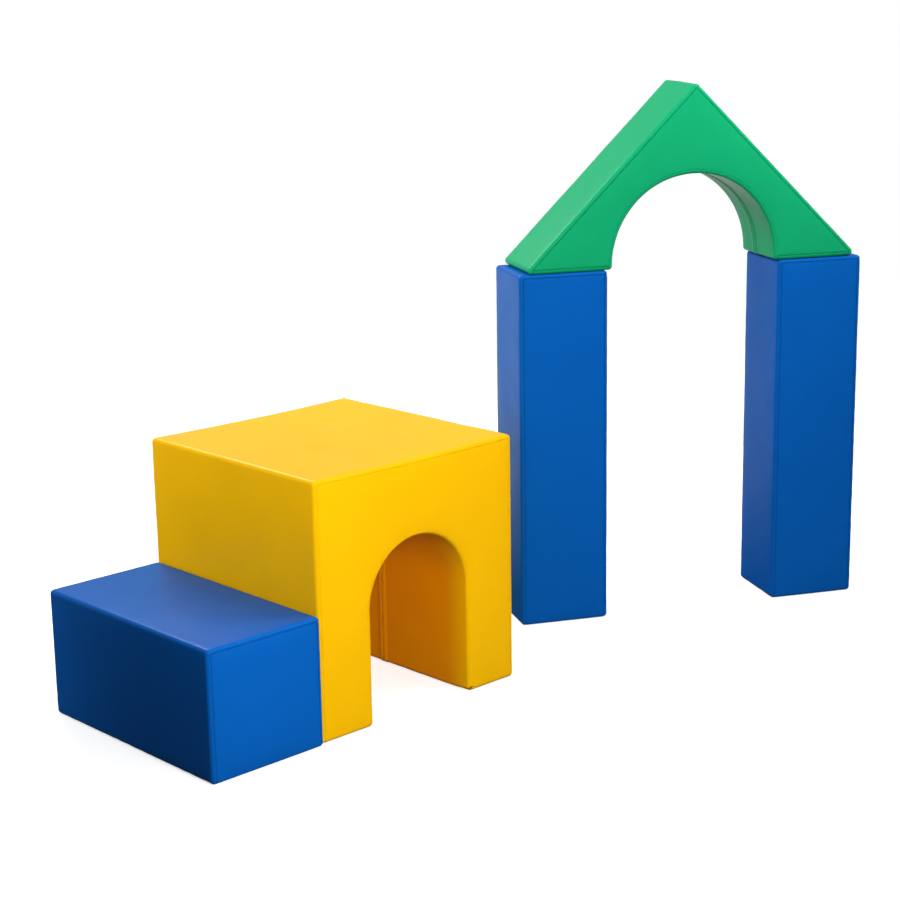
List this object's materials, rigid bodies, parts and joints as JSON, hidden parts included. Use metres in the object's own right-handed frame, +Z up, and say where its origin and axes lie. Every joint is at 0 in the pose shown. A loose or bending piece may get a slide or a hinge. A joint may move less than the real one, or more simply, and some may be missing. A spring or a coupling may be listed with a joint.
{
  "type": "giant building block set",
  "caption": "Soft play set of foam blocks in sewn, zipped vinyl covers: an arched tunnel cube with a step at its side, and a gate of columns under an arched gable.",
  "frame": {"origin": "on the floor, under the middle of the whole set's box", "axes": "+Z up, +Y backwards along the tunnel, +X to the right across the tunnel's arched front, from the step towards the gate"},
  "size_m": [2.0666, 0.7806, 1.3461],
  "materials": {
    "vinyl_yellow": "glossy vinyl",
    "vinyl_blue": "glossy vinyl",
    "vinyl_green": "glossy vinyl",
    "foam": "open-cell foam",
    "zip_tape": "woven tape",
    "zip_coil": "nylon coil",
    "zip_slider": "plated"
  },
  "bodies": {
    "tunnel": {"tunnel_core": "foam", "tunnel_front_panel": "vinyl_yellow", "tunnel_back_panel": "vinyl_yellow", "tunnel_wrap": "vinyl_yellow", "tunnel_lining_front": "vinyl_yellow", "tunnel_lining_back": "vinyl_yellow", "tunnel_left_sole": "vinyl_yellow", "tunnel_right_sole": "vinyl_yellow", "tunnel_zip_tapes": "zip_tape", "tunnel_zip_coils": "zip_coil"},
    "tunnel_zip_pull": {"tunnel_zip_slider": "zip_slider"},
    "step": {"step_core": "foam", "step_front_panel": "vinyl_blue", "step_back_panel": "vinyl_blue", "step_wrap": "vinyl_blue", "step_zip_strip_front": "vinyl_blue", "step_zip_strip_back": "vinyl_blue", "step_sole": "vinyl_blue", "step_zip_tapes": "zip_tape", "step_zip_coils": "zip_coil"},
    "step_zip_pull": {"step_zip_slider": "zip_slider"},
    "left_column": {"left_column_core": "foam", "left_column_front_panel": "vinyl_blue", "left_column_back_panel": "vinyl_blue", "left_column_wrap": "vinyl_blue", "left_column_zip_strip_front": "vinyl_blue", "left_column_zip_strip_back": "vinyl_blue", "left_column_sole": "vinyl_blue", "left_column_zip_tapes": "zip_tape", "left_column_zip_coils": "zip_coil"},
    "left_column_zip_pull": {"left_column_zip_slider": "zip_slider"},
    "right_column": {"right_column_core": "foam", "right_column_front_panel": "vinyl_blue", "right_column_back_panel": "vinyl_blue", "right_column_wrap": "vinyl_blue", "right_column_zip_strip_front": "vinyl_blue", "right_column_zip_strip_back": "vinyl_blue", "right_column_sole": "vinyl_blue", "right_column_zip_tapes": "zip_tape", "right_column_zip_coils": "zip_coil"},
    "right_column_zip_pull": {"right_column_zip_slider": "zip_slider"},
    "gable": {"gable_core": "foam", "gable_front_panel": "vinyl_green", "gable_back_panel": "vinyl_green", "gable_roof_strip": "vinyl_green", "gable_lining_front": "vinyl_green", "gable_lining_back": "vinyl_green", "gable_left_sole": "vinyl_green", "gable_right_sole": "vinyl_green", "gable_zip_tapes": "zip_tape", "gable_zip_coils": "zip_coil"},
    "gable_zip_pull": {"gable_zip_slider": "zip_slider"}
  },
  "joints": [
    {"name": "step_pull", "type": "slide", "parent": "tunnel", "child": "step", "axis": [-1, 0, 0], "range_m": [0, 0.4]},
    {"name": "gate_shift", "type": "slide", "parent": "tunnel", "child": "left_column", "axis": [0.887, -0.4617, 0], "range_m": [0, 0.3]},
    {"name": "column_spread", "type": "slide", "parent": "left_column", "child": "right_column", "axis": [0.887, -0.4617, 0], "range_m": [0, 0.1]},
    {"name": "gable_lift", "type": "slide", "parent": "left_column", "child": "gable", "axis": [0, 0, 1], "range_m": [0, 0.3]},
    {"name": "tunnel_zip", "type": "slide", "parent": "tunnel", "child": "tunnel_zip_pull", "axis": [0, 0, 1], "range_m": [0, 0.208]},
    {"name": "step_zip", "type": "slide", "parent": "step", "child": "step_zip_pull", "axis": [0, 0, 1], "range_m": [0, 0.198]},
    {"name": "left_column_zip", "type": "slide", "parent": "left_column", "child": "left_column_zip_pull", "axis": [0, 0, 1], "range_m": [0, 0.803]},
    {"name": "right_column_zip", "type": "slide", "parent": "right_column", "child": "right_column_zip_pull", "axis": [0, 0, 1], "range_m": [0, 0.803]},
    {"name": "gable_zip", "type": "hinge", "parent": "gable", "child": "gable_zip_pull", "pos_m": [0.58222, -0.09237, 0.9103], "axis": [-0.4617, -0.887, 0], "range_deg": [0, 159]}
  ]
}
